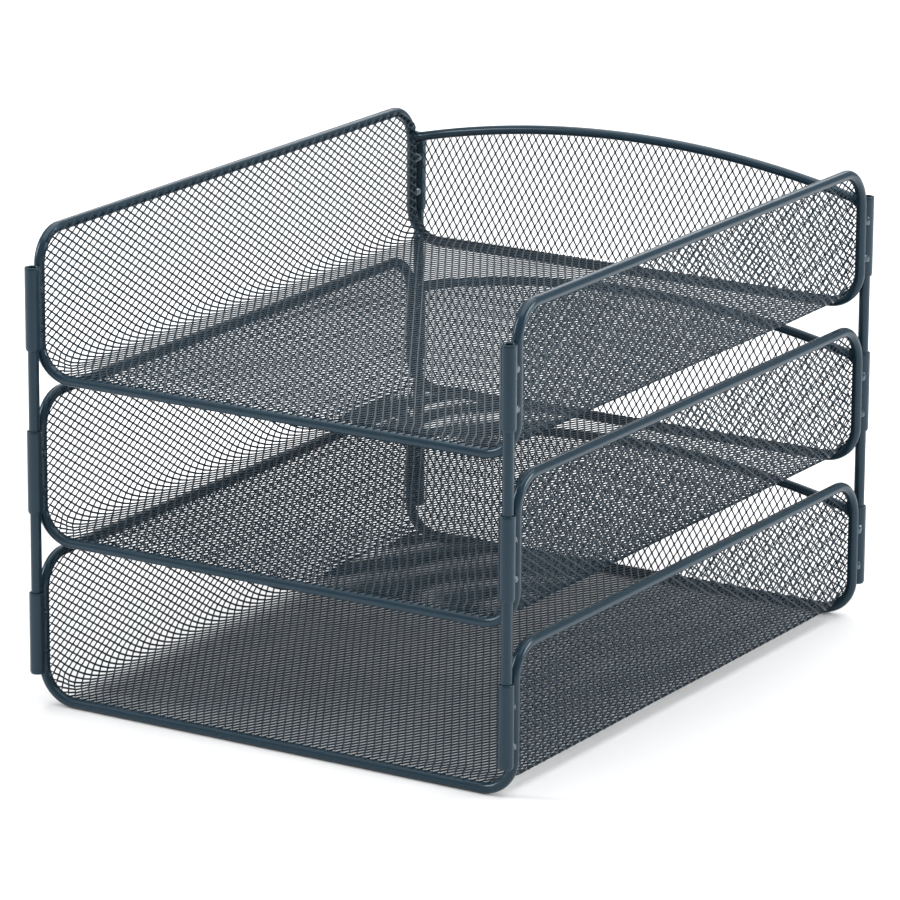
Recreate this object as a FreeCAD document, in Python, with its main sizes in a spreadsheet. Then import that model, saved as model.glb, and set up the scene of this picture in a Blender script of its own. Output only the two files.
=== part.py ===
import FreeCAD, Part
import math
import os
import Sketcher

# Three-tier letter tray of bent steel rod and expanded steel mesh.
# Millimetres, +Z up, +X right, -Y the open front; the origin is on the floor under the middle.
# Each tray rests on its front and back bottom rods; sockets outside the four uprights take the
# posts of the tray above, so the trays lift apart.

DIMENSIONS = [
    ("frame_width", 232.2, "between the centre lines of the side rods"),
    ("frame_depth", 292.2, "between the centre lines of the front and back rods"),
    ("rod_dia", 4.6, "rod of the tray frame"),
    ("side_height", 61.6, "from the centre line of the bottom rods up to that of the side rods"),
    ("tier_pitch", 70.6, "from one tray up to the next"),
    ("upright_mid", 34.0, "height where the four runs of the frame rod meet"),
    ("bottom_bend", 15.0, "centre line radius of the bends at the bottom corners"),
    ("front_bend", 14.0, "centre line radius of the side rods' front bends"),
    ("rear_bend", 17.0, "centre line radius of the side rods' rear bends"),
    ("arch_dia", 4.2, "rod of the arched back rail"),
    ("arch_end", 49.2, "height of the back rail's centre line at the uprights"),
    ("arch_mid", 63.6, "height of the back rail's centre line in the middle"),
    ("mesh_thick", 0.5, "expanded mesh sheet"),
    ("fold_radius", 6.5, "outside radius of the folds between floor and sides"),
    ("mesh_lap", 1.5, "back mesh edge, measured in from the rods' centre lines"),
    ("mesh_clear", 0.2, "between the back mesh and a socket"),
    ("sleeve_dia", 6.6, "outside of a socket"),
    ("bore_dia", 4.9, "inside of a socket"),
    ("sleeve_bottom", 14.6, "lower end of a socket"),
    ("sleeve_top", 50.5, "upper end of a socket"),
    ("stop_top", 33.0, "seat for the post of the tray above"),
    ("stop_bottom", 31.6, "underside of the seat, the end of the tray's own post"),
    ("sleeve_gap", 5.65, "from an upright's centre line to its socket's, front to back"),
    ("sleeve_inset", 0.4, "how far a socket stands inward of its upright"),
    ("crimp_length", 2.0, "length of a socket's lower end closed on to the post"),
    ("swage", 0.35, "how far a socket's lower edge is drawn in"),
    ("swage_length", 1.2, "height of the drawn-in edge"),
    ("rim_round", 0.3, "rounding of a socket's upper edge"),
    ("post_dia", 4.76, "post between two trays"),
    ("post_chamfer", 0.5, "bevel at a post's ends"),
    ("seat_play", 0.05, "between a post's end and its seat"),
    ("tack_low", 21.0, "underside of the lower weld tacks"),
    ("tack_high", 37.5, "underside of the upper weld tacks"),
    ("tack_height", 5.0, "height of a weld tack"),
    ("tack_thick", 3.6, "width of a weld tack, side to side"),
]
SIZE = {alias: value for alias, value, meaning in DIMENSIONS}

TRAYS = ("lower", "middle", "top")
CORNERS = {"front_left": (-1, -1), "front_right": (1, -1),
           "rear_left": (-1, 1), "rear_right": (1, 1)}

doc = FreeCAD.newDocument("letter_tray")
sheet = doc.addObject("Spreadsheet::Sheet", "Dims")
for row, (alias, value, meaning) in enumerate(DIMENSIONS, start=1):
    sheet.set(f"A{row}", meaning)
    sheet.set(f"B{row}", str(value))
    sheet.setAlias(f"B{row}", alias)
doc.recompute()

nodes = []


class Mix:
    """A length mixed from named dimensions, known both as a number and as an expression."""

    def __init__(self, **terms):
        self.mm = sum(factor * SIZE[alias] for alias, factor in terms.items())
        self.text = " + ".join(f"{factor} * Dims.{alias}" for alias, factor in terms.items())

    def positive(self):
        return (self.mm, self.text) if self.mm >= 0 else (-self.mm, f"-({self.text})")


def new_node(label, tray, x=None, y=None):
    """A body with its own name, lifted to its tray and moved to its place."""
    body = doc.addObject("PartDesign::Body", "body_" + label)
    body.Label = label
    body.setExpression("Placement.Base.z", f"{TRAYS.index(tray)} * Dims.tier_pitch")
    for axis, mix in (("x", x), ("y", y)):
        if mix is not None:
            body.setExpression("Placement.Base." + axis, mix.text)
    nodes.append(body)
    return body


def new_sketch(body, name, plane, offset=None):
    """A sketch on one of the body's own planes, moved along that plane's normal."""
    sketch = body.newObject("Sketcher::SketchObject", name)
    origin = next(f for f in body.Origin.OriginFeatures if f.Role == plane + "_Plane")
    sketch.AttachmentSupport = [(origin, "")]
    sketch.MapMode = "FlatFace"
    if offset is not None:
        sketch.AttachmentOffset = FreeCAD.Placement(
            FreeCAD.Vector(0, 0, offset.mm), FreeCAD.Rotation())
        sketch.setExpression("AttachmentOffset.Base.z", offset.text)
    return sketch


def dimension(sketch, kind, refs, mix):
    """A dimension driven by the spreadsheet; a negative distance is measured the other way."""
    value, text = mix.positive()
    if mix.mm < 0:
        refs = refs[2:] + refs[:2]
    index = sketch.addConstraint(Sketcher.Constraint(kind, *refs, value))
    sketch.setExpression(f"Constraints[{index}]", text)


def fix_point(sketch, geometry, point, x=None, y=None):
    """Places one point of a curve against the sketch's origin."""
    for kind, axis, mix in (("DistanceX", -2, x), ("DistanceY", -1, y)):
        if mix is None:
            continue
        if abs(mix.mm) < 1e-9:
            sketch.addConstraint(Sketcher.Constraint("PointOnObject", geometry, point, axis))
        else:
            dimension(sketch, kind, (-1, 1, geometry, point), mix)


def circle(sketch, x, y, radius):
    centre = FreeCAD.Vector(x.mm, y.mm, 0)
    geometry = sketch.addGeometry(
        Part.Circle(centre, FreeCAD.Vector(0, 0, 1), radius.mm), False)
    fix_point(sketch, geometry, 3, x, y)
    dimension(sketch, "Radius", (geometry,), radius)


def short_arc(centre, one, other):
    """The shorter arc between two points about a centre, running anticlockwise."""
    angles = [math.atan2(point.y - centre.y, point.x - centre.x) for point in (one, other)]
    if (angles[1] - angles[0]) % (2 * math.pi) > math.pi:
        angles.reverse()
    circle_about = Part.Circle(centre, FreeCAD.Vector(0, 0, 1), one.distanceToPoint(centre))
    return Part.ArcOfCircle(circle_about, *angles)


def corner_arc(before, corner, after, radius):
    """The quarter arc that rounds one right-angled corner."""
    back = (before - corner).normalize() * radius
    ahead = (after - corner).normalize() * radius
    return short_arc(corner + back + ahead, corner + back, corner + ahead)


def end_points(geometry, start):
    """Which end of a sketch curve is the given point: 1 its start, 2 its end."""
    return (1, 2) if geometry.StartPoint.distanceToPoint(start) < 1e-6 else (2, 1)


def chain(sketch, corners, closed=True):
    """Level and upright runs through the corners (x, y, radius or None), fully constrained."""
    points = [FreeCAD.Vector(x.mm, y.mm, 0) for x, y, radius in corners]
    count = len(corners)
    trims = [radius.mm if radius else 0.0 for x, y, radius in corners]
    runs = []
    for i in range(count if closed else count - 1):
        j = (i + 1) % count
        ahead = (points[j] - points[i]).normalize()
        runs.append(sketch.addGeometry(Part.LineSegment(
            points[i] + ahead * trims[i], points[j] - ahead * trims[j]), False))
        level = abs(ahead.y) < 1e-9
        sketch.addConstraint(Sketcher.Constraint("Horizontal" if level else "Vertical", runs[-1]))
        if level:
            fix_point(sketch, runs[-1], 1, y=corners[i][1])
        else:
            fix_point(sketch, runs[-1], 1, x=corners[i][0])
    for i in range(0 if closed else 1, count if closed else count - 1):
        before, after = runs[i - 1], runs[i]
        radius = corners[i][2]
        if radius is None:
            sketch.addConstraint(Sketcher.Constraint("Coincident", before, 2, after, 1))
            continue
        bend = sketch.addGeometry(corner_arc(
            points[i - 1], points[i], points[(i + 1) % count], radius.mm), False)
        first, last = end_points(sketch.Geometry[bend], sketch.Geometry[before].EndPoint)
        sketch.addConstraint(Sketcher.Constraint("Tangent", before, 2, bend, first))
        sketch.addConstraint(Sketcher.Constraint("Tangent", bend, last, after, 1))
        dimension(sketch, "Radius", (bend,), radius)
    if not closed:
        for run, point, (x, y, radius) in ((runs[0], 1, corners[0]), (runs[-1], 2, corners[-1])):
            level = abs(sketch.Geometry[run].StartPoint.y - sketch.Geometry[run].EndPoint.y) < 1e-9
            fix_point(sketch, run, point, *((x, None) if level else (None, y)))


def sweep(body, name, profile, path):
    pipe = body.newObject("PartDesign::AdditivePipe", name)
    pipe.Profile = profile
    pipe.Spine = (path, [f"Edge{i + 1}" for i in range(len(path.Shape.Edges))])
    body.Tip = pipe


def pad(body, name, sketch, length, centred=False, reverse=False):
    feature = body.newObject("PartDesign::Pad", name)
    feature.Profile = sketch
    feature.setExpression("Length", length.text)
    feature.Midplane = centred
    feature.Reversed = reverse
    body.Tip = feature


def edges_at(shape, y, z):
    """Names of the edges whose middle lies at the given depth and height."""
    return [f"Edge{i + 1}" for i, edge in enumerate(shape.Edges)
            if abs(edge.CenterOfMass.y - y) < 0.1 and abs(edge.CenterOfMass.z - z) < 0.1]


half_width = Mix(frame_width=0.5)
half_depth = Mix(frame_depth=0.5)
rod_radius = Mix(rod_dia=0.5)
rail_z = Mix(rod_dia=0.5)
side_z = Mix(rod_dia=0.5, side_height=1)
meet_z = Mix(upright_mid=1)


def build_frame(tray):
    """One rod bent all the way round: bottom rods front and back, uprights, side rods."""
    body = new_node(tray + "_frame_rod", tray)
    bend = Mix(bottom_bend=1)
    for end, y in (("front", Mix(frame_depth=-0.5)), ("back", half_depth)):
        path = new_sketch(body, f"{tray}_{end}_run", "XZ", Mix(frame_depth=0.5 if end == "front" else -0.5))
        chain(path, [(Mix(frame_width=-0.5), meet_z, None), (Mix(frame_width=-0.5), rail_z, bend),
                     (half_width, rail_z, bend), (half_width, meet_z, None)], closed=False)
        profile = new_sketch(body, f"{tray}_{end}_section", "XY", meet_z)
        circle(profile, Mix(frame_width=-0.5), y, rod_radius)
        doc.recompute()
        sweep(body, f"{tray}_{end}_rod", profile, path)
    for side, x in (("left", Mix(frame_width=-0.5)), ("right", half_width)):
        path = new_sketch(body, f"{tray}_{side}_run", "YZ", x)
        chain(path, [(Mix(frame_depth=-0.5), meet_z, None),
                     (Mix(frame_depth=-0.5), side_z, Mix(front_bend=1)),
                     (half_depth, side_z, Mix(rear_bend=1)), (half_depth, meet_z, None)], closed=False)
        profile = new_sketch(body, f"{tray}_{side}_section", "XY", meet_z)
        circle(profile, x, Mix(frame_depth=-0.5), rod_radius)
        doc.recompute()
        sweep(body, f"{tray}_{side}_rod", profile, path)


ARCH_RISE = "(Dims.arch_mid - Dims.arch_end)"
ARCH_RADIUS = f"((Dims.frame_width / 2)^2 + {ARCH_RISE}^2) / (2 * {ARCH_RISE})"
rise = SIZE["arch_mid"] - SIZE["arch_end"]
arch_radius = ((SIZE["frame_width"] / 2) ** 2 + rise ** 2) / (2 * rise)


def build_back_rail(tray):
    """The arched rail between the rear uprights, coped to fit round them."""
    body = new_node(tray + "_back_rail", tray)
    section = new_sketch(body, tray + "_arch_section", "YZ")
    centre_y = Mix(frame_depth=0.5, rod_dia=0.5, arch_dia=-0.5)
    circle(section, centre_y, Mix(arch_mid=1), Mix(arch_dia=0.5))
    low = SIZE["arch_mid"] - arch_radius
    axis = section.addGeometry(Part.LineSegment(
        FreeCAD.Vector(centre_y.mm, low, 0), FreeCAD.Vector(centre_y.mm + 20, low, 0)), True)
    section.addConstraint(Sketcher.Constraint("Horizontal", axis))
    section.addConstraint(Sketcher.Constraint("Vertical", axis, 1, 0, 3))
    drop = section.addConstraint(Sketcher.Constraint("DistanceY", axis, 1, 0, 3, arch_radius))
    section.setExpression(f"Constraints[{drop}]", ARCH_RADIUS)
    section.addConstraint(Sketcher.Constraint("DistanceX", axis, 1, axis, 2, 20))
    doc.recompute()
    for half, reverse in (("right", False), ("left", True)):
        arch = body.newObject("PartDesign::Revolution", f"{tray}_arch_{half}")
        arch.Profile = section
        arch.ReferenceAxis = (section, ["Axis0"])
        arch.Reversed = reverse
        arch.Refine = False
        arch.setExpression("Angle", f"asin(Dims.frame_width / 2 / ({ARCH_RADIUS}))")
        body.Tip = arch
    for side in (-1, 1):
        cope = body.newObject("PartDesign::SubtractiveCylinder", f"{tray}_cope_{side + 1}")
        cope.Refine = False
        cope.setExpression("Radius", rod_radius.text)
        cope.setExpression("Height", "Dims.arch_mid - Dims.upright_mid")
        cope.setExpression("Placement.Base.x", f"{side} * Dims.frame_width / 2")
        cope.setExpression("Placement.Base.y", half_depth.text)
        cope.setExpression("Placement.Base.z", "Dims.upright_mid")
        body.Tip = cope


def box_pocket(body, name, plane, corners, length, offset=None):
    """Cuts one or more rectangles, given by opposite corners, and checks that they cut."""
    sketch = new_sketch(body, name + "_outline", plane, offset)
    for x0, y0, x1, y1 in corners:
        chain(sketch, [(x0, y0, None), (x1, y0, None), (x1, y1, None), (x0, y1, None)])
    doc.recompute()
    before = body.Tip.Shape.Volume
    pocket = body.newObject("PartDesign::Pocket", name)
    pocket.Profile = sketch
    pocket.setExpression("Length", length.text)
    pocket.Midplane = plane == "YZ"
    pocket.Reversed = plane == "XY"
    body.Tip = pocket
    doc.recompute()
    if not pocket.Shape.Volume < before - 1:
        raise RuntimeError(name + " cuts nothing")


def build_tray_mesh(tray):
    """One sheet for floor and both sides: it lies on the bottom rods and inside the uprights."""
    body = new_node(tray + "_tray_mesh", tray)
    outline = new_sketch(body, tray + "_sheet_outline", "XZ")
    floor, inner_floor = Mix(rod_dia=1), Mix(rod_dia=1, mesh_thick=1)
    outer_fold, inner_fold = Mix(fold_radius=1), Mix(fold_radius=1, mesh_thick=-1)
    left, right = Mix(frame_width=-0.5, rod_dia=0.5), Mix(frame_width=0.5, rod_dia=-0.5)
    left_in = Mix(frame_width=-0.5, rod_dia=0.5, mesh_thick=1)
    right_in = Mix(frame_width=0.5, rod_dia=-0.5, mesh_thick=-1)
    chain(outline, [(left, side_z, None), (left, floor, outer_fold), (right, floor, outer_fold),
                    (right, side_z, None), (right_in, side_z, None),
                    (right_in, inner_floor, inner_fold), (left_in, inner_floor, inner_fold),
                    (left_in, side_z, None)])
    doc.recompute()
    pad(body, tray + "_sheet", outline, Mix(frame_depth=1), centred=True)
    doc.recompute()
    for name, sign, bend in (("front", -1, "front_bend"), ("rear", 1, "rear_bend")):
        solid = body.Tip
        corners = edges_at(solid.Shape, y=sign * half_depth.mm, z=side_z.mm)
        rounding = body.newObject("PartDesign::Fillet", f"{tray}_{name}_rounding")
        rounding.Base = (solid, corners)
        rounding.setExpression("Radius", "Dims." + bend)
        body.Tip = rounding
        doc.recompute()
    box_pocket(body, tray + "_rail_notch", "YZ",
               [(Mix(frame_depth=0.5, arch_dia=-0.6), Mix(arch_end=1, arch_dia=-0.7),
                 Mix(frame_depth=0.5, arch_dia=0.5), Mix(arch_end=1, arch_dia=0.7))],
               Mix(frame_width=1.2))
    notches = []
    for side, end in CORNERS.values():
        notches.append((Mix(frame_width=side * 0.5, bottom_bend=-side),
                        Mix(frame_depth=end * 0.5, rod_dia=-end * 0.55),
                        Mix(frame_width=side * 0.5), Mix(frame_depth=end * 0.5, rod_dia=end)))
    box_pocket(body, tray + "_corner_notches", "XY", notches, Mix(rod_dia=0.5, bottom_bend=1))


def build_back_mesh(tray):
    """The flat sheet behind the arched rail and the back bottom rod, cut out beside the sockets."""
    body = new_node(tray + "_back_mesh", tray)
    face = Mix(frame_depth=-0.5, rod_dia=-0.5)
    outline = new_sketch(body, tray + "_panel_outline", "XZ", face)
    half, low = Mix(frame_width=0.5, mesh_lap=-1), Mix(rod_dia=0.5, mesh_lap=1)
    end, mid = Mix(arch_end=1), Mix(arch_mid=1, arch_dia=-0.1)
    chain(outline, [(Mix(frame_width=-0.5, mesh_lap=1), end, None),
                    (Mix(frame_width=-0.5, mesh_lap=1), low, Mix(bottom_bend=1, mesh_lap=-1)),
                    (half, low, Mix(bottom_bend=1, mesh_lap=-1)), (half, end, None)], closed=False)
    rise_here = mid.mm - end.mm
    centre = FreeCAD.Vector(0, mid.mm - (half.mm ** 2 + rise_here ** 2) / (2 * rise_here), 0)
    top = outline.addGeometry(short_arc(centre, FreeCAD.Vector(half.mm, end.mm, 0),
                                        FreeCAD.Vector(-half.mm, end.mm, 0)), False)
    crown = outline.addGeometry(Part.Point(FreeCAD.Vector(0, mid.mm, 0)), True)
    right_end, left_end = end_points(outline.Geometry[top], FreeCAD.Vector(half.mm, end.mm, 0))
    outline.addConstraint(Sketcher.Constraint("Coincident", 2, 2, top, right_end))
    outline.addConstraint(Sketcher.Constraint("Coincident", top, left_end, 0, 1))
    outline.addConstraint(Sketcher.Constraint("PointOnObject", crown, 1, top))
    outline.addConstraint(Sketcher.Constraint("PointOnObject", crown, 1, -2))
    fix_point(outline, crown, 1, y=mid)
    doc.recompute()
    pad(body, tray + "_panel", outline, Mix(mesh_thick=1), reverse=True)
    beneath, above = Mix(sleeve_bottom=1, mesh_clear=-1), Mix(arch_end=1, arch_dia=0.5)
    cutouts = [(Mix(frame_width=side * 0.5, sleeve_inset=-side, sleeve_dia=side * -0.5, mesh_clear=-side),
                beneath, Mix(frame_width=side * 0.5), above) for side in (-1, 1)]
    box_pocket(body, tray + "_socket_cutouts", "XZ", cutouts, Mix(mesh_thick=1), face)


def corner_place(corner):
    """Where a corner's upright and socket stand: x and y of each."""
    side, end = CORNERS[corner]
    return (Mix(frame_width=side * 0.5), Mix(frame_depth=end * 0.5),
            Mix(frame_width=side * 0.5, sleeve_inset=-side), Mix(frame_depth=end * 0.5, sleeve_gap=end))


def polygon(sketch, corners):
    """A closed outline through the corners, each corner placed by its own dimensions."""
    points = [FreeCAD.Vector(x.mm, y.mm, 0) for x, y in corners]
    sides = [sketch.addGeometry(Part.LineSegment(point, points[(i + 1) % len(points)]), False)
             for i, point in enumerate(points)]
    for i, side in enumerate(sides):
        sketch.addConstraint(Sketcher.Constraint("Coincident", sides[i - 1], 2, side, 1))
        fix_point(sketch, side, 1, *corners[i])


def revolve(body, name, sketch):
    feature = body.newObject("PartDesign::Revolution", name)
    feature.Profile = sketch
    feature.ReferenceAxis = (sketch, ["V_Axis"])
    feature.Angle = 360
    body.Tip = feature


def build_sleeve(tray, corner):
    """A socket: open at the top, with a seat half way down for the post above."""
    x, y = corner_place(corner)[2:]
    label = f"{tray}_sleeve_{corner}"
    body = new_node(label, tray, x, y)
    outer, bore, axis = Mix(sleeve_dia=0.5), Mix(bore_dia=0.5), Mix(sleeve_dia=0)
    bottom, top = Mix(sleeve_bottom=1), Mix(sleeve_top=1)
    lower_bore = [(bore, bottom), (bore, Mix(stop_bottom=1))]
    if tray != "lower":
        lower_bore = [(Mix(post_dia=0.5), bottom), (Mix(post_dia=0.5), Mix(sleeve_bottom=1, crimp_length=1)),
                      (bore, Mix(sleeve_bottom=1, crimp_length=1.2)), (bore, Mix(stop_bottom=1))]
    wall = Mix(sleeve_dia=0.5, rim_round=-1)
    half_section = new_sketch(body, label + "_section", "XZ")
    polygon(half_section, lower_bore + [
        (axis, Mix(stop_bottom=1)), (axis, Mix(stop_top=1)), (bore, Mix(stop_top=1)), (bore, top),
        (wall, top), (outer, Mix(sleeve_top=1, rim_round=-1)),
        (outer, Mix(sleeve_bottom=1, swage_length=1)), (Mix(sleeve_dia=0.5, swage=-1), bottom)])
    doc.recompute()
    revolve(body, label + "_tube", half_section)


def build_post(tray, corner):
    """A post held in this tray's socket that stands in the socket of the tray below."""
    x, y = corner_place(corner)[2:]
    label = f"{tray}_post_{corner}"
    body = new_node(label, tray, x, y)
    radius, axis = Mix(post_dia=0.5), Mix(post_dia=0)
    narrow = Mix(post_dia=0.5, post_chamfer=-1)
    low = Mix(stop_top=1, tier_pitch=-1, seat_play=1)
    high = Mix(stop_bottom=1, seat_play=-1)
    half_section = new_sketch(body, label + "_section", "XZ")
    polygon(half_section, [
        (axis, low), (narrow, low),
        (radius, Mix(stop_top=1, tier_pitch=-1, seat_play=1, post_chamfer=1)),
        (radius, Mix(stop_bottom=1, seat_play=-1, post_chamfer=-1)), (narrow, high), (axis, high)])
    doc.recompute()
    revolve(body, label + "_rod", half_section)


def build_tacks(tray):
    """Two weld tacks at each corner, filling the gap between upright and socket."""
    body = new_node(tray + "_weld_tacks", tray)
    for level in ("low", "high"):
        outline = new_sketch(body, f"{tray}_tack_outline_{level}", "XY", Mix(**{"tack_" + level: 1}))
        for corner in CORNERS:
            tack_outline(outline, corner)
        doc.recompute()
        pad(body, f"{tray}_tacks_{level}", outline, Mix(tack_height=1))
        doc.recompute()


def tack_outline(sketch, corner):
    """Seen from above: two flat sides between the round faces of the upright and the socket."""
    upright_x, upright_y, socket_x, socket_y = corner_place(corner)
    side, end = CORNERS[corner]
    edges = [Mix(frame_width=side * 0.5, sleeve_inset=side * -0.5, tack_thick=k) for k in (-0.5, 0.5)]
    rods = ((upright_x, upright_y, rod_radius, end), (socket_x, socket_y, Mix(sleeve_dia=0.5), -end))
    faces = []
    for x, y, radius, toward in rods:
        centre = FreeCAD.Vector(x.mm, y.mm, 0)
        reach = [toward * math.sqrt(radius.mm ** 2 - (edge.mm - x.mm) ** 2) for edge in edges]
        faces.append([centre] + [FreeCAD.Vector(edge.mm, y.mm + r, 0) for edge, r in zip(edges, reach)])
    first = sketch.GeometryCount
    for centre, start, finish in faces:
        sketch.addGeometry(short_arc(centre, start, finish), False)
    for k in (1, 2):
        sketch.addGeometry(Part.LineSegment(faces[0][k], faces[1][k]), False)
    upright, socket, left, right = range(first, first + 4)
    for arc, (x, y, radius, toward) in ((upright, rods[0]), (socket, rods[1])):
        fix_point(sketch, arc, 3, x, y)
        dimension(sketch, "Radius", (arc,), radius)
    for line, k in ((left, 1), (right, 2)):
        for point, arc, face in ((1, upright, faces[0]), (2, socket, faces[1])):
            at = end_points(sketch.Geometry[arc], face[k])[0]
            sketch.addConstraint(Sketcher.Constraint("Coincident", line, point, arc, at))
        sketch.addConstraint(Sketcher.Constraint("Vertical", line))
        fix_point(sketch, line, 1, x=edges[k - 1])


for tray in TRAYS:
    build_frame(tray)
    build_back_rail(tray)
    build_tray_mesh(tray)
    build_back_mesh(tray)
    build_tacks(tray)
    for corner in CORNERS:
        build_sleeve(tray, corner)
        if tray != "lower":
            build_post(tray, corner)

doc.recompute()
for thing in doc.Objects:
    if "Invalid" in thing.State or "Error" in thing.State:
        raise RuntimeError(f"{thing.Name} is {thing.State}")
for body in nodes:
    if body.Shape.isNull() or not body.Shape.isValid() or body.Shape.Volume <= 0:
        raise RuntimeError(body.Label + " has no sound shape")

os.makedirs("parts", exist_ok=True)
for body in nodes:
    body.Shape.exportStep(f"parts/{body.Label}.step")
    print(body.Label, len(body.Shape.Solids), round(body.Shape.Volume, 1))
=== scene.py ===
import math
from functools import partial

import bpy
import numpy as np
from mathutils import Matrix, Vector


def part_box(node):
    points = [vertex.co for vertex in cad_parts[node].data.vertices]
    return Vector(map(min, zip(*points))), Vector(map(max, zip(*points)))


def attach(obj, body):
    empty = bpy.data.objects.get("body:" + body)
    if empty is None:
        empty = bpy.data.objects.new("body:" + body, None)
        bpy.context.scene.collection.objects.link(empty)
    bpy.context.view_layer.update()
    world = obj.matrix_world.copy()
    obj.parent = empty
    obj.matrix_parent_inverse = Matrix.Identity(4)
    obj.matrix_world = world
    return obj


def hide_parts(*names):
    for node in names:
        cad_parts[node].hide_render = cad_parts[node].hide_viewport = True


# Three-tier letter tray of bent steel rod and expanded steel mesh, powder coated slate blue.
# Metres, +Z up, +X right, -Y the open front. Heights named *_Z are measured from a tray's own base.

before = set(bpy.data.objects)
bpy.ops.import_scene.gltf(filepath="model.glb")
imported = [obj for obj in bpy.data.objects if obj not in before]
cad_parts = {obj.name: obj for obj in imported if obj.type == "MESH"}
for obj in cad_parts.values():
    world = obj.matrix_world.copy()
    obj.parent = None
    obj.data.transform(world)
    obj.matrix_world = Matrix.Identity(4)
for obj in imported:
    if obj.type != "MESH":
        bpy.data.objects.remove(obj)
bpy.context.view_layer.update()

MM = 0.001
TRAYS = ("lower", "middle", "top")
CORNERS = {"front_left": (-1, -1), "front_right": (1, -1), "rear_left": (-1, 1), "rear_right": (1, 1)}

# Rod frame
frame_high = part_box("lower_frame_rod")[1]
sheet_low, sheet_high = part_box("lower_tray_mesh")
ROD = frame_high.z - sheet_high.z                  # radius of the rod
HALF_WIDTH = frame_high.x - ROD                    # to the rods' centre lines
HALF_DEPTH = frame_high.y - ROD
BASE_ROD_Z = ROD
SIDE_ROD_Z = frame_high.z - ROD
BOTTOM_BEND = 15.0 * MM
FRONT_BEND = 14.0 * MM
REAR_BEND = 17.0 * MM
BAR_SIDES = 24                                     # points round a bar

# Arched back rail
rail_low, rail_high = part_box("lower_back_rail")
RAIL = (rail_high.y - rail_low.y) / 2
RAIL_Y = rail_high.y - RAIL
RAIL_CROWN_Z = rail_high.z - RAIL
RAIL_END_Z = 49.2 * MM
RAIL_END_X = HALF_WIDTH - 0.8 * MM                 # inside the uprights
FILLET_RISE = 1.3 * MM                             # weld fillets where the rail meets the uprights
FILLET_LENGTH = 3.4 * MM
FILLET_CURVE = 2.2
FILLET_BULGE = 0.03                                # how much wider the rail gets there, as a share

# Sockets and posts
socket_low, socket_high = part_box("lower_sleeve_front_left")
SOCKET = (socket_high.x - socket_low.x) / 2
SOCKET_BOTTOM_Z, SOCKET_TOP_Z = socket_low.z, socket_high.z
SOCKET_X = -(socket_low.x + socket_high.x) / 2
SOCKET_Y = -(socket_low.y + socket_high.y) / 2
BORE = 2.45 * MM
SEAT_TOP_Z, SEAT_BOTTOM_Z = 33.0 * MM, 31.6 * MM
CRIMP_TOP, CRIMP_BOTTOM = 2.6 * MM, 1.8 * MM       # where the crimp closes in, above the socket's end
post_low, post_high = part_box("middle_post_front_left")
POST = (post_high.x - post_low.x) / 2
CRIMPED_BORE = POST + 0.02 * MM
POST_CHAMFER = 0.5 * MM
TURNED_SIDES = 44                                  # points round a socket or post

# Weld tacks
TACKS_Z = (23.5 * MM, 40.0 * MM)
TACK_HALF_HEIGHT = 2.3 * MM
TACK_HALF_THICK = 2.15 * MM
TACK_FLARE = 0.7 * MM                              # how much thicker a tack is where it wets the socket
TACK_THIN_ENDS = 0.08                              # shares by which its ends are thinner and taller
TACK_TALL_ENDS = 0.3
TACK_RIPPLE = 0.05
TACK_SQUARENESS = 0.75                             # 1 is an ellipse, 0 a box
TACK_SIZES = (0.94, 1.04)
TACK_LEAN = 0.25 * MM
TACK_FROM_Y = HALF_DEPTH + ROD - 2.1 * MM          # inside the upright
TACK_TO_Y = SOCKET_Y - SOCKET + 1.7 * MM           # inside the socket
TACK_SIDES, TACK_RINGS = 20, 13

# Expanded mesh: LONG and SHORT are the two ways across an opening
back_low, back_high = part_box("lower_back_mesh")
SHEET = (back_high.y - back_low.y) / 2             # half the sheet's thickness
SHEET_X = sheet_high.x - SHEET
SHEET_Z = sheet_low.z + SHEET
BACK_Y = back_low.y + SHEET
LONG, SHORT = 6.15 * MM, 3.68 * MM
BACK_LONG, BACK_SHORT = 6.20 * MM, 3.76 * MM
TRAY_OPENING = (0.79, 0.70)                        # an opening's two lengths against LONG and SHORT
BACK_OPENING = (0.84, 0.78)
KNOT_FLAT = 0.11                                   # half the flat beside a knot, against half of LONG
STRAND_EDGE = 0.20 * MM                            # half the thickness at a strand's edges
STRAND_TWIST = 0.12 * MM                           # how far the edges stand out of the sheet
LAP = 1.3 * MM                                     # how far a sheet's edge laps past a rod's centre line
OPENING_INSET = 0.9 * MM                           # how far inside that edge an opening has to lie
FOLD = 6.25 * MM
END_FOLD = 12.3 * MM                               # where the sheet lies inside the bent bottom rods
END_FOLD_FROM, END_FOLD_LENGTH = 14 * MM, 11 * MM  # measured from the end rods
DRIFT = 0.12 * MM                                  # unevenness of the openings
TRAY_BUCKLE, BACK_BUCKLE = 0.32 * MM, 0.30 * MM    # how far the sheets wander out of flat
TRAY_BUCKLE_SEED, DRIFT_SEED, BACK_BUCKLE_SEED = 10, 20, 30
WAVES = 9
BACK_LEAN_DEG = (3.1, 2.4, 3.1)                    # how askew each tray's back panel is
BACK_DROOP_DEG = (0.9, 0.4, 0.9)
BACK_SHIFT = 1.1 * MM                              # how much higher its openings start on each tray up
BACK_ROWS_BELOW = 10
BACK_REACH = (72, 24)
BACK_HALF_WIDTH = HALF_WIDTH - 0.2 * MM

# Coats: a dark and a light shade, and the tint of their sheen
ROD_SHADES = ((0.009, 0.024, 0.037), (0.011, 0.028, 0.043))
MESH_SHADES = ((0.008, 0.020, 0.031), (0.010, 0.024, 0.037))
SHEEN = (0.72, 0.88, 1.0)
PEEL_DEPTH = 0.06 * MM

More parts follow.
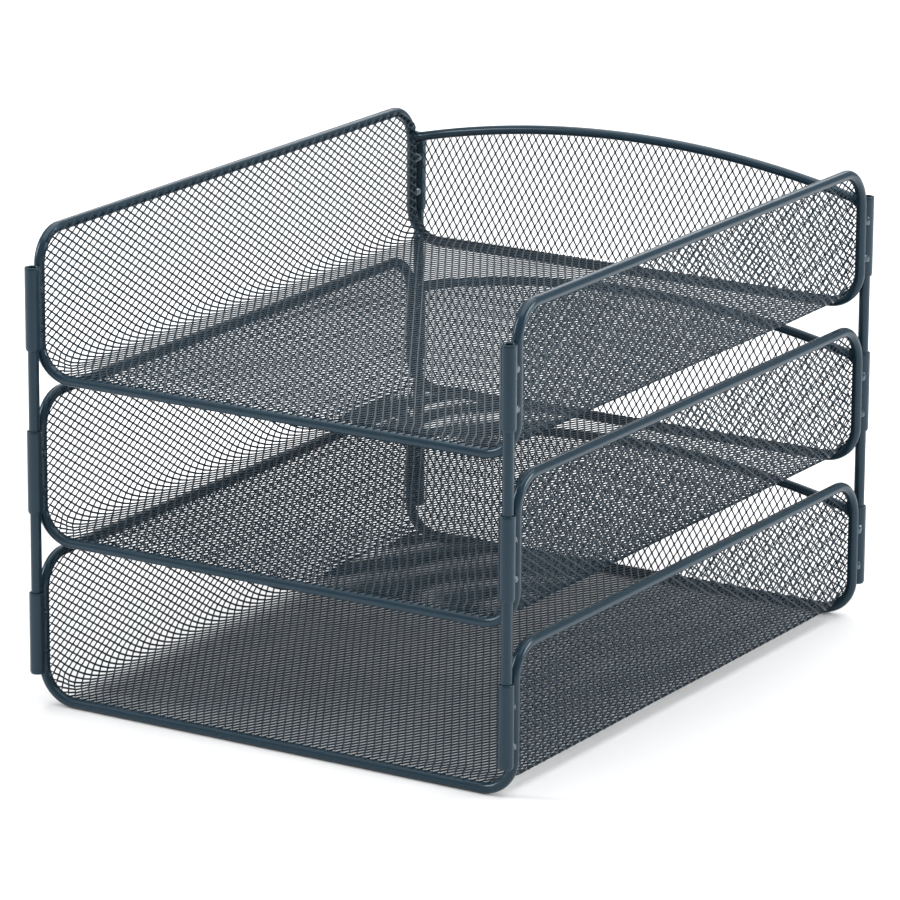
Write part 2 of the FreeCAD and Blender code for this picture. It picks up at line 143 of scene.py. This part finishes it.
# Studio
CAMERA_AZIMUTH, CAMERA_ELEVATION, CAMERA_ROLL = (math.radians(a) for a in (31.582, 15.801, 0.344))
CAMERA_TARGET = np.array([-11.203, 10.5, 90.161]) * MM
CAMERA_DISTANCE = 2.49053
CAMERA_LENS = 229.49
LIGHT_TARGET = np.array([0, 0, 0.1])
FLOOR_HALF = 7.0
WORLD_COLOUR, WORLD_STRENGTH = (0.97, 0.985, 1, 1), 0.50


# ---------------------------------------------------------------- shapes

def add_piece(name, points, faces, material, sharp_deg=40):
    """A smooth shaded mesh object with its corners kept crisp."""
    mesh = bpy.data.meshes.new(name)
    mesh.from_pydata([tuple(p) for p in points], [], faces)
    mesh.validate()
    mesh.polygons.foreach_set("use_smooth", [True] * len(mesh.polygons))
    mesh.set_sharp_from_angle(angle=math.radians(sharp_deg))
    mesh.materials.append(material)
    piece = bpy.data.objects.new(name, mesh)
    bpy.context.scene.collection.objects.link(piece)
    return piece


def rounded(corners, closed=False, turn_deg=7.5):
    """A line through the corners (point, radius), each turned on an arc of its radius."""
    points = [np.array(p, float) for p, radius in corners]
    line = []
    for i, (corner, radius) in enumerate(corners):
        here = points[i]
        if radius <= 0 or (not closed and i in (0, len(points) - 1)):
            line.append(here)
            continue
        to_last = points[i - 1] - here
        to_next = points[(i + 1) % len(points)] - here
        to_last /= np.linalg.norm(to_last)
        to_next /= np.linalg.norm(to_next)
        half = math.acos(np.clip(to_last @ to_next, -1, 1)) / 2
        turn = math.pi - 2 * half
        middle = to_last + to_next
        centre = here + middle / np.linalg.norm(middle) * radius / math.sin(half)
        start = here + to_last * radius / math.tan(half) - centre
        across = -to_last * radius
        steps = max(2, math.ceil(math.degrees(turn) / turn_deg))
        for angle in np.linspace(0, turn, steps + 1):
            line.append(centre + start * math.cos(angle) + across * math.sin(angle))
    return np.array(line)


def ring_faces(rings, around, closed):
    """Quads between neighbouring rings of points."""
    faces = []
    for i in range(rings if closed else rings - 1):
        a, b = i * around, (i + 1) % rings * around
        for k in range(around):
            n = (k + 1) % around
            faces.append((a + k, a + n, b + n, b + k))
    return faces


def end_caps(rings, around):
    """The two flat ends of a row of rings."""
    return [tuple(reversed(range(around))), tuple(range((rings - 1) * around, rings * around))]


def circle(around):
    """Cosines and sines of evenly spaced angles."""
    angles = np.arange(around) * 2 * math.pi / around
    return np.cos(angles), np.sin(angles)


def bar(line, radii, closed=False):
    """A round bar along a line; radii gives each ring's two half widths, the first along its side."""
    count = len(line)
    ahead = np.roll(line, -1, 0) - line
    if not closed:
        ahead[-1] = ahead[-2]
    ahead /= np.linalg.norm(ahead, axis=1)[:, None]
    before = np.roll(ahead, 1, 0)
    if not closed:
        before[0] = ahead[0]
    tangents = ahead + before
    tangents /= np.linalg.norm(tangents, axis=1)[:, None]
    cosine, sine = circle(BAR_SIDES)
    side = np.array([0.0, 1.0, 0.0])
    rings = []
    for here, tangent, (wide, tall) in zip(line, tangents, radii):
        side = side - (side @ tangent) * tangent
        side /= np.linalg.norm(side)
        other = np.cross(tangent, side)
        rings.append(here + np.outer(cosine * wide, side) + np.outer(sine * tall, other))
    faces = ring_faces(count, BAR_SIDES, closed)
    if not closed:
        faces += end_caps(count, BAR_SIDES)
    return np.concatenate(rings), faces


def turned(profile, x, y, z):
    """A turned solid about an upright axis, from a profile (radius, height) that starts and ends on it."""
    around = TURNED_SIDES
    cosine, sine = circle(around)
    inner = profile[1:-1]
    rings = [np.column_stack([x + r * cosine, y + r * sine, np.full(around, z + h)]) for r, h in inner]
    points = np.concatenate(rings + [[[x, y, z + profile[0][1]]], [[x, y, z + profile[-1][1]]]])
    faces = ring_faces(len(inner), around, closed=False)
    first, last = len(points) - 2, len(points) - 1
    top = (len(inner) - 1) * around
    for k in range(around):
        n = (k + 1) % around
        faces.append((first, n, k))
        faces.append((last, top + k, top + n))
    return points, faces


def smooth_step(x):
    x = np.clip(x, 0, 1)
    return x * x * (3 - 2 * x)


def waves(seed, shortest, longest):
    """A smooth wavy function of two sheet coordinates, about -1 to 1, the same on every run."""
    rng = np.random.default_rng(seed)
    directions = rng.uniform(0, 2 * math.pi, WAVES)
    lengths = rng.uniform(shortest, longest, WAVES)
    phases = rng.uniform(0, 2 * math.pi, WAVES)

    def height(u, v):
        total = 0
        for direction, length, phase in zip(directions, lengths, phases):
            along = u * math.cos(direction) + v * math.sin(direction)
            total = total + np.sin(along * 2 * math.pi / length + phase)
        return total / math.sqrt(2 * WAVES)

    return height


# ---------------------------------------------------------------- finishes

def noise(nodes, links, coordinates, scale, detail, roughness):
    """A noise texture fixed to the object."""
    texture = nodes.new("ShaderNodeTexNoise")
    texture.inputs["Scale"].default_value = scale
    texture.inputs["Detail"].default_value = detail
    texture.inputs["Roughness"].default_value = roughness
    links.new(coordinates.outputs["Object"], texture.inputs["Vector"])
    return texture.outputs["Fac"]


def remap(nodes, links, value, low, high):
    """Stretches a noise's middle range over low to high."""
    node = nodes.new("ShaderNodeMapRange")
    node.inputs["From Min"].default_value = 0.3
    node.inputs["From Max"].default_value = 0.7
    node.inputs["To Min"].default_value = low
    node.inputs["To Max"].default_value = high
    links.new(value, node.inputs["Value"])
    return node.outputs["Result"]


def powder_coat(name, shades, roughness, peel, specular):
    """Baked powder coat: faint clouds of colour, an orange peel surface and uneven gloss."""
    material = bpy.data.materials.new(name)
    material.use_nodes = True
    nodes, links = material.node_tree.nodes, material.node_tree.links
    shader = nodes["Principled BSDF"]
    coordinates = nodes.new("ShaderNodeTexCoord")

    clouds = remap(nodes, links, noise(nodes, links, coordinates, 55, 4, 0.6), 0, 1)
    colour = nodes.new("ShaderNodeMix")
    colour.data_type = "RGBA"
    colour.inputs["A"].default_value = (*shades[0], 1)
    colour.inputs["B"].default_value = (*shades[1], 1)
    links.new(clouds, colour.inputs["Factor"])
    links.new(colour.outputs["Result"], shader.inputs["Base Color"])

    gloss = noise(nodes, links, coordinates, 260, 3, 0.55)
    links.new(remap(nodes, links, gloss, roughness - 0.03, roughness + 0.03), shader.inputs["Roughness"])

    bump = nodes.new("ShaderNodeBump")
    bump.inputs["Strength"].default_value = peel
    bump.inputs["Distance"].default_value = PEEL_DEPTH
    links.new(noise(nodes, links, coordinates, 900, 2, 0.5), bump.inputs["Height"])
    links.new(bump.outputs["Normal"], shader.inputs["Normal"])

    shader.inputs["Specular IOR Level"].default_value = specular
    shader.inputs["Specular Tint"].default_value = (*SHEEN, 1)
    return material


rod_coat = powder_coat("rod_powder_coat", ROD_SHADES, roughness=0.22, peel=0.05, specular=0.38)
weld_coat = powder_coat("weld_powder_coat", ROD_SHADES, roughness=0.13, peel=0.06, specular=0.85)
mesh_coat = powder_coat("mesh_powder_coat", MESH_SHADES, roughness=0.34, peel=0.08, specular=0.22)


# ---------------------------------------------------------------- rods

def frame_line(base):
    """Centre line of the one rod that goes round a tray."""
    w, d, low, high = HALF_WIDTH, HALF_DEPTH, BASE_ROD_Z + base, SIDE_ROD_Z + base
    return rounded([
        ((-w, -d, low), BOTTOM_BEND), ((w, -d, low), BOTTOM_BEND),
        ((w, -d, high), FRONT_BEND), ((w, d, high), REAR_BEND),
        ((w, d, low), BOTTOM_BEND), ((-w, d, low), BOTTOM_BEND),
        ((-w, d, high), REAR_BEND), ((-w, -d, high), FRONT_BEND)], closed=True)


def make_frame(tray, base):
    line = frame_line(base)
    points, faces = bar(line, [(ROD, ROD)] * len(line), closed=True)
    return add_piece(tray + "_frame_loop", points, faces, rod_coat)


def arch_z(x):
    """Height of the back rail's centre line."""
    rise = RAIL_CROWN_Z - RAIL_END_Z
    radius = (HALF_WIDTH ** 2 + rise ** 2) / (2 * rise)
    return RAIL_CROWN_Z - radius + np.sqrt(radius ** 2 - x ** 2)


def make_rail(tray, base):
    """The arched rail, its ends spread into weld fillets that die away against the uprights."""
    fillet_start = HALF_WIDTH - ROD - FILLET_LENGTH
    tail = np.linspace(fillet_start, RAIL_END_X, 9)
    xs = np.concatenate([-tail[::-1], np.linspace(-fillet_start, fillet_start, 61)[1:-1], tail])
    line = np.column_stack([xs, np.full(len(xs), RAIL_Y), arch_z(xs) + base])
    rise = np.clip((np.abs(xs) - fillet_start) / FILLET_LENGTH, 0, 1) ** FILLET_CURVE
    radii = [(RAIL * (1 + FILLET_BULGE * r), RAIL + FILLET_RISE * r) for r in rise]
    points, faces = bar(line, radii)
    return add_piece(tray + "_back_arch", points, faces, rod_coat)


# ---------------------------------------------------------------- sockets, posts, welds

def socket_profile(crimped):
    """Half section of a socket, from its seat's underside out round the tube to the seat's top."""
    lower_bore = [((BORE, SEAT_BOTTOM_Z), 0)]
    mouth = BORE
    if crimped:
        mouth = CRIMPED_BORE
        lower_bore.append(((BORE, SOCKET_BOTTOM_Z + CRIMP_TOP), 0.3 * MM))
        lower_bore.append(((CRIMPED_BORE, SOCKET_BOTTOM_Z + CRIMP_BOTTOM), 0))
    return rounded([((0, SEAT_BOTTOM_Z), 0)] + lower_bore + [
        ((mouth, SOCKET_BOTTOM_Z), 0.15 * MM),
        ((SOCKET - 0.35 * MM, SOCKET_BOTTOM_Z), 0.3 * MM),
        ((SOCKET, SOCKET_BOTTOM_Z + 1.2 * MM), 1.0 * MM),
        ((SOCKET, SOCKET_TOP_Z - 0.9 * MM), 0.8 * MM),
        ((SOCKET - 0.12 * MM, SOCKET_TOP_Z), 0.3 * MM),
        ((BORE + 0.2 * MM, SOCKET_TOP_Z), 0.2 * MM),
        ((BORE, SOCKET_TOP_Z - 0.6 * MM), 0.3 * MM),
        ((BORE, SEAT_TOP_Z), 0.3 * MM),
        ((0, SEAT_TOP_Z), 0)], turn_deg=15)


def make_socket(tray, base, corner):
    side, end = CORNERS[corner]
    profile = socket_profile(crimped=tray != "lower")
    points, faces = turned(profile, side * SOCKET_X, end * SOCKET_Y, base)
    return add_piece(f"{tray}_socket_{corner}", points, faces, rod_coat)


def make_post(tray, corner):
    side, end = CORNERS[corner]
    low, high = (box_corner.z for box_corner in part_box(f"{tray}_post_{corner}"))
    profile = rounded([
        ((0, low), 0), ((POST - POST_CHAMFER, low), 0.2 * MM), ((POST, low + POST_CHAMFER), 0.3 * MM),
        ((POST, high - POST_CHAMFER), 0.3 * MM), ((POST - POST_CHAMFER, high), 0.2 * MM),
        ((0, high), 0)], turn_deg=15)
    points, faces = turned(profile, side * SOCKET_X, end * SOCKET_Y, 0)
    return add_piece(f"{tray}_pin_{corner}", points, faces, rod_coat)


def weld_tack(x, y_from, y_to, z, seed):
    """One weld: a waisted lump between an upright and a socket, spreading where it wets each of them."""
    rng = np.random.default_rng(seed)
    lean = rng.uniform(-1, 1, 2) * TACK_LEAN
    grow = rng.uniform(*TACK_SIZES)
    angles = np.arange(TACK_SIDES) * 2 * math.pi / TACK_SIDES
    cosine, sine = circle(TACK_SIDES)
    wide = np.sign(cosine) * np.abs(cosine) ** TACK_SQUARENESS
    tall = np.sign(sine) * np.abs(sine) ** TACK_SQUARENESS
    points = []
    for share in np.linspace(0, 1, TACK_RINGS):
        spread = (2 * share - 1) ** 2
        half_thick = (TACK_HALF_THICK + TACK_FLARE * share) * (grow - TACK_THIN_ENDS * spread)
        half_height = TACK_HALF_HEIGHT * grow * (1 + TACK_TALL_ENDS * spread)
        ripple = 1 + TACK_RIPPLE * np.sin(3 * angles + 5 * share + seed)
        points.append(np.column_stack([
            x + lean[0] * (1 - spread) + wide * half_thick * ripple,
            np.full(TACK_SIDES, y_from + (y_to - y_from) * share),
            z + lean[1] + tall * half_height * ripple]))
    faces = ring_faces(TACK_RINGS, TACK_SIDES, closed=False) + end_caps(TACK_RINGS, TACK_SIDES)
    return np.concatenate(points), faces


def make_tacks(tray, base):
    """The eight weld tacks of a tray, two at each corner."""
    x = (HALF_WIDTH + SOCKET_X) / 2
    points, faces = [], []
    for number, (side, end) in enumerate(CORNERS.values()):
        for level, z in enumerate(TACKS_Z):
            seed = 100 * TRAYS.index(tray) + 2 * number + level
            lump, skin = weld_tack(side * x, end * TACK_FROM_Y, end * TACK_TO_Y, z + base, seed)
            start = sum(len(p) for p in points)
            order = 1 if end > 0 else -1
            faces += [tuple(start + k for k in face[::order]) for face in skin]
            points.append(lump)
    return add_piece(tray + "_welds", np.concatenate(points), faces, weld_coat)


# ---------------------------------------------------------------- expanded mesh
# Rows i and columns j meet in knots where i + j is odd and in openings where it is even.

def openings_inside(reach, point_at, inside):
    """Rows and columns of the openings that lie inside the sheet."""
    rows, columns = (np.arange(-r, r + 1) for r in reach)
    i, j = np.meshgrid(rows, columns, indexing="ij")
    even = (i + j) % 2 == 0
    i, j = i[even], j[even]
    kept = inside(*point_at(i, j))
    return i[kept], j[kept]


def knots_round(i, j, reach):
    """Rows and columns of the knots round the openings, and the numbers of each opening's four
    knots: up, right, down and left."""
    span = 4 * (reach[0] + reach[1])
    keys = np.stack([(i + 1) * span + j, i * span + j + 1, (i - 1) * span + j, i * span + j - 1], 1)
    names, index = np.unique(keys, return_inverse=True)
    knot_j = (names + span // 2) % span - span // 2
    knot_i = (names - knot_j) // span
    return knot_i, knot_j, index.reshape(keys.shape)


def hole_outlines(knot, corner, opening):
    """Six points round each opening: its long ends, and the flats beside the knots above and below."""
    up, right, down, left = (knot[corner[:, k]] for k in range(4))
    middle = (up + right + down + left) / 4
    long, short = opening
    flat = (right - left) / 2 * KNOT_FLAT
    return np.stack([
        middle + (up - middle) * short + flat, middle + (right - middle) * long,
        middle + (down - middle) * short + flat, middle + (down - middle) * short - flat,
        middle + (left - middle) * long, middle + (up - middle) * short - flat], 1)


def lattice_faces(corner, knots):
    """The openings' walls, the strands' front and back, and the rim of the sheet."""
    cells = len(corner)
    front = 2 * knots + 6 * np.arange(cells)[:, None] + np.arange(6)
    back = front + 6 * cells
    faces = []
    for k in range(6):
        n = (k + 1) % 6
        faces += np.stack([front[:, k], front[:, n], back[:, n], back[:, k]], 1).tolist()
    for hole, shift, order in ((front, 0, 1), (back, knots, -1)):
        u, r, d, l = (corner[:, k] + shift for k in range(4))
        for quad in ((u, r, hole[:, 1], hole[:, 0]), (r, d, hole[:, 2], hole[:, 1]),
                     (d, l, hole[:, 4], hole[:, 3]), (l, u, hole[:, 5], hole[:, 4])):
            faces += np.stack(quad, 1)[:, ::order].tolist()
        for triangle in ((u, hole[:, 0], hole[:, 5]), (d, hole[:, 3], hole[:, 2])):
            faces += np.stack(triangle, 1)[:, ::order].tolist()

    strands = np.concatenate([corner[:, [0, 1]], corner[:, [1, 2]], corner[:, [2, 3]], corner[:, [3, 0]]])
    pairs, count = np.unique(np.sort(strands, 1), axis=0, return_counts=True)
    rim = {tuple(pair) for pair in pairs[count == 1].tolist()}
    faces += [(b, a, a + knots, b + knots) for a, b in strands.tolist() if (min(a, b), max(a, b)) in rim]
    return faces


def expanded_sheet(name, reach, opening, point_at, inside, pull, place):
    """Expanded metal with real openings. point_at gives a row and column's place on the flat sheet,
    pull brings overhanging knots back to its edge, and place folds it into shape."""
    i, j = openings_inside(reach, point_at, inside)
    knot_i, knot_j, corner = knots_round(i, j, reach)
    knot = np.stack(pull(*point_at(knot_i, knot_j)), 1)
    holes = hole_outlines(knot, corner, opening)

    knots, cells = len(knot), len(holes)
    twist = np.tile(np.array([1, 0, -1, -1, 0, 1]) * STRAND_TWIST, cells)
    flat_points = np.concatenate([knot, knot, holes.reshape(-1, 2), holes.reshape(-1, 2)])
    lift = np.concatenate([np.full(knots, SHEET), np.full(knots, -SHEET),
                           twist + STRAND_EDGE, twist - STRAND_EDGE])
    points = place(flat_points[:, 0], flat_points[:, 1], lift)
    return add_piece(name, points, lattice_faces(corner, knots), mesh_coat, sharp_deg=180)


def section_length(fold):
    """From the floor's middle round the fold and up to the side rod's centre line."""
    return (SHEET_X - fold) + fold * math.pi / 2 + (SIDE_ROD_Z - SHEET_Z - fold)


def past_rod(u, v):
    """How far a point of the tray sheet lies past the centre line of the rods round it."""
    bend = np.where(v < 0, FRONT_BEND, REAR_BEND)
    away_u = np.maximum(np.abs(u) - (section_length(FOLD) - bend), 0)
    away_v = np.maximum(np.abs(v) - (HALF_DEPTH - bend), 0)
    return np.hypot(away_u, away_v) - bend, away_u, away_v, bend


def pull_to_edge(u, v):
    """Brings knots that would overhang back to the sheet's edge."""
    past, away_u, away_v, bend = past_rod(u, v)
    share = np.minimum(1, (bend + LAP) / np.maximum(past + bend, 1e-9))
    return (np.sign(u) * (np.abs(u) - away_u * (1 - share)),
            np.sign(v) * (np.abs(v) - away_v * (1 - share)))


def make_tray_sheet(tray, base):
    """Floor and both sides: one sheet folded up, its edges lapped on the inner faces of the rods,
    drawn as three parts that meet where the folds begin."""
    number = TRAYS.index(tray)
    buckle = waves(TRAY_BUCKLE_SEED + number, 60 * MM, 150 * MM)
    drift = waves(DRIFT_SEED + number, 80 * MM, 220 * MM)
    columns = round(2 * (HALF_DEPTH + LAP) / LONG * 2) / 2
    long_step = (HALF_DEPTH + LAP) / columns
    rows = round(section_length(FOLD) / SHORT * 2)
    short_step = section_length(FOLD) / rows
    rail_u = section_length(FOLD) - (SIDE_ROD_Z - RAIL_END_Z)

    def point_at(i, j):
        u, v = i * short_step, j * long_step
        return u + DRIFT * drift(u, v), v + 0 * u

    def inside(u, v, part):
        past = past_rod(u, v)[0]
        crossing = (np.abs(v - RAIL_Y) < RAIL * 0.8) & (np.abs(np.abs(u) - rail_u) < RAIL * 0.8)
        return (past < LAP - OPENING_INSET) & ~crossing & (np.sign(u) * (np.abs(u) > SHEET_X - FOLD) == part)

    def place(u, v, lift):
        near_end = smooth_step((np.abs(v) - HALF_DEPTH + END_FOLD_FROM) / END_FOLD_LENGTH)
        fold = FOLD + (END_FOLD - FOLD) * near_end
        s = np.abs(u) * section_length(fold) / section_length(FOLD)
        floor = SHEET_X - fold
        angle = np.clip((s - floor) / fold, 0, math.pi / 2)
        x = np.minimum(s, floor) + fold * np.sin(angle)
        z = SHEET_Z + fold * (1 - np.cos(angle)) + np.maximum(s - floor - fold * math.pi / 2, 0)
        past = past_rod(u, v)[0]
        wrap = ROD - np.sqrt(ROD ** 2 - np.clip(past, 0, LAP) ** 2)
        free = smooth_step(-past / (18 * MM)) * (0.35 + 0.65 * smooth_step(np.abs(s - floor) / (20 * MM)))
        off = lift - wrap + TRAY_BUCKLE * free * buckle(u, v)
        return np.column_stack([np.sign(u) * (x - off * np.sin(angle)), v, z + off * np.cos(angle) + base])

    return [expanded_sheet(f"{tray}_{name}_lattice", (rows + 2, math.ceil(columns) + 1), TRAY_OPENING,
                           point_at, partial(inside, part=part), pull_to_edge, place)
            for name, part in (("left", -1), ("floor", 0), ("right", 1))]


def make_back_sheet(tray, base):
    """The panel behind the arched rail, its openings upright and a little askew, cut out beside the
    sockets."""
    number = TRAYS.index(tray)
    buckle = waves(BACK_BUCKLE_SEED + number, 50 * MM, 120 * MM)
    lean = math.radians(BACK_LEAN_DEG[number])
    droop = math.radians(BACK_DROOP_DEG[number])
    across = np.array([math.cos(droop), -math.sin(droop)]) * BACK_SHORT / 2
    upward = np.array([math.sin(lean), math.cos(lean)]) * BACK_LONG / 2
    half = BACK_HALF_WIDTH

    def point_at(i, j):
        z = i * across[1] + (j + BACK_ROWS_BELOW) * upward[1] + BACK_SHIFT * number
        return i * across[0] + j * upward[0], z

    def past_edge(x, z):
        away_x = np.maximum(np.abs(x) - (half - BOTTOM_BEND), 0)
        away_z = np.maximum(BASE_ROD_Z + BOTTOM_BEND - z, 0)
        return np.hypot(away_x, away_z) - BOTTOM_BEND, away_x, away_z

    def beside_socket(x, z):
        return (z > SOCKET_BOTTOM_Z - 0.4 * MM) & (np.abs(x) > SOCKET_X - SOCKET - 0.2 * MM)

    def inside(x, z):
        kept = (past_edge(x, z)[0] < -0.5 * MM) & (z < arch_z(np.clip(x, -half, half)) - 0.6 * MM)
        return kept & ~beside_socket(np.abs(x) + 1.2 * MM, z + 1.5 * MM)

    def pull(x, z):
        x = np.where(beside_socket(x, z), np.sign(x) * (SOCKET_X - SOCKET - 0.25 * MM), x)
        past, away_x, away_z = past_edge(x, z)
        share = np.minimum(1, BOTTOM_BEND / np.maximum(past + BOTTOM_BEND, 1e-9))
        x = np.sign(x) * (np.abs(x) - away_x * (1 - share))
        z = z + away_z * (1 - share)
        return x, np.minimum(z, arch_z(x) + 0.3 * MM)

    def place(x, z, lift):
        rim = np.maximum(past_edge(x, z)[0], z - arch_z(np.clip(x, -half, half)))
        off = BACK_BUCKLE * smooth_step(-rim / (15 * MM)) * buckle(x, z)
        return np.column_stack([x, BACK_Y - lift + off, z + base])

    return expanded_sheet(tray + "_back_lattice", BACK_REACH, BACK_OPENING, point_at, inside, pull, place)


# ---------------------------------------------------------------- assembly

def assemble(piece, tray, slot, *nodes):
    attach(piece, tray + "_tray")
    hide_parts(*nodes)


for tray in TRAYS:
    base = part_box(tray + "_frame_rod")[0].z
    assemble(make_frame(tray, base), tray, "rod_coat", tray + "_frame_rod")
    assemble(make_rail(tray, base), tray, "rod_coat", tray + "_back_rail")
    for lattice in make_tray_sheet(tray, base):
        assemble(lattice, tray, "mesh_coat", tray + "_tray_mesh")
    assemble(make_back_sheet(tray, base), tray, "mesh_coat", tray + "_back_mesh")
    assemble(make_tacks(tray, base), tray, "rod_coat", tray + "_weld_tacks")
    for corner in CORNERS:
        assemble(make_socket(tray, base, corner), tray, "rod_coat", f"{tray}_sleeve_{corner}")
        if tray != "lower":
            assemble(make_post(tray, corner), tray, "rod_coat", f"{tray}_post_{corner}")


# ---------------------------------------------------------------- studio

def make_floor():
    """A wide sheet of white paper."""
    h = FLOOR_HALF
    mesh = bpy.data.meshes.new("studio_floor")
    mesh.from_pydata([(-h, -h, 0), (h, -h, 0), (h, h, 0), (-h, h, 0)], [], [(0, 1, 2, 3)])
    material = bpy.data.materials.new("studio_paper")
    material.use_nodes = True
    shader = material.node_tree.nodes["Principled BSDF"]
    shader.inputs["Base Color"].default_value = (0.9, 0.9, 0.9, 1)
    shader.inputs["Roughness"].default_value = 0.9
    shader.inputs["Specular IOR Level"].default_value = 0.1
    mesh.materials.append(material)
    floor = bpy.data.objects.new("studio_floor", mesh)
    bpy.context.scene.collection.objects.link(floor)


def make_world():
    world = bpy.data.worlds.new("studio")
    world.use_nodes = True
    background = world.node_tree.nodes["Background"]
    background.inputs["Color"].default_value = WORLD_COLOUR
    background.inputs["Strength"].default_value = WORLD_STRENGTH
    bpy.context.scene.world = world


def looking(place, back, roll=0.0):
    """The matrix of a lamp or camera at a place, with its back to the given direction."""
    right = np.cross((0, 0, 1), back)
    right /= np.linalg.norm(right)
    up = np.cross(back, right)
    c, s = math.cos(roll), math.sin(roll)
    matrix = Matrix.Identity(4)
    for column, axis in enumerate((c * right + s * up, c * up - s * right, back, place)):
        for row in range(3):
            matrix[row][column] = axis[row]
    return matrix


def soft_box(name, place, size, watts):
    """A large soft lamp aimed at the middle of the stack."""
    light = bpy.data.lights.new(name, "AREA")
    light.shape = "RECTANGLE"
    light.size, light.size_y = size
    light.energy = watts
    lamp = bpy.data.objects.new(name, light)
    away = np.array(place) - LIGHT_TARGET
    lamp.matrix_world = looking(place, away / np.linalg.norm(away))
    bpy.context.scene.collection.objects.link(lamp)


def make_camera():
    """The photograph's viewing angle: from the front right, a little above, with a long lens."""
    level = math.cos(CAMERA_ELEVATION)
    back = np.array([math.sin(CAMERA_AZIMUTH) * level, -math.cos(CAMERA_AZIMUTH) * level,
                     math.sin(CAMERA_ELEVATION)])
    data = bpy.data.cameras.new("camera")
    data.sensor_width = 36
    data.lens = CAMERA_LENS
    data.clip_start, data.clip_end = 0.1, 30
    camera = bpy.data.objects.new("camera", data)
    camera.matrix_world = looking(CAMERA_TARGET + back * CAMERA_DISTANCE, back, CAMERA_ROLL)
    bpy.context.scene.collection.objects.link(camera)
    bpy.context.scene.camera = camera


make_floor()
make_world()
soft_box("overhead", (0.0, 0.2, 2.0), size=(2.6, 2.6), watts=52)
soft_box("behind", (-0.6, 1.7, 1.2), size=(1.6, 0.5), watts=8)
soft_box("left", (-1.5, -1.05, 0.9), size=(0.45, 1.0), watts=19)
soft_box("right", (1.7, 0.75, 0.8), size=(0.9, 0.9), watts=24)
make_camera()
bpy.context.scene.view_settings.view_transform = "Standard"
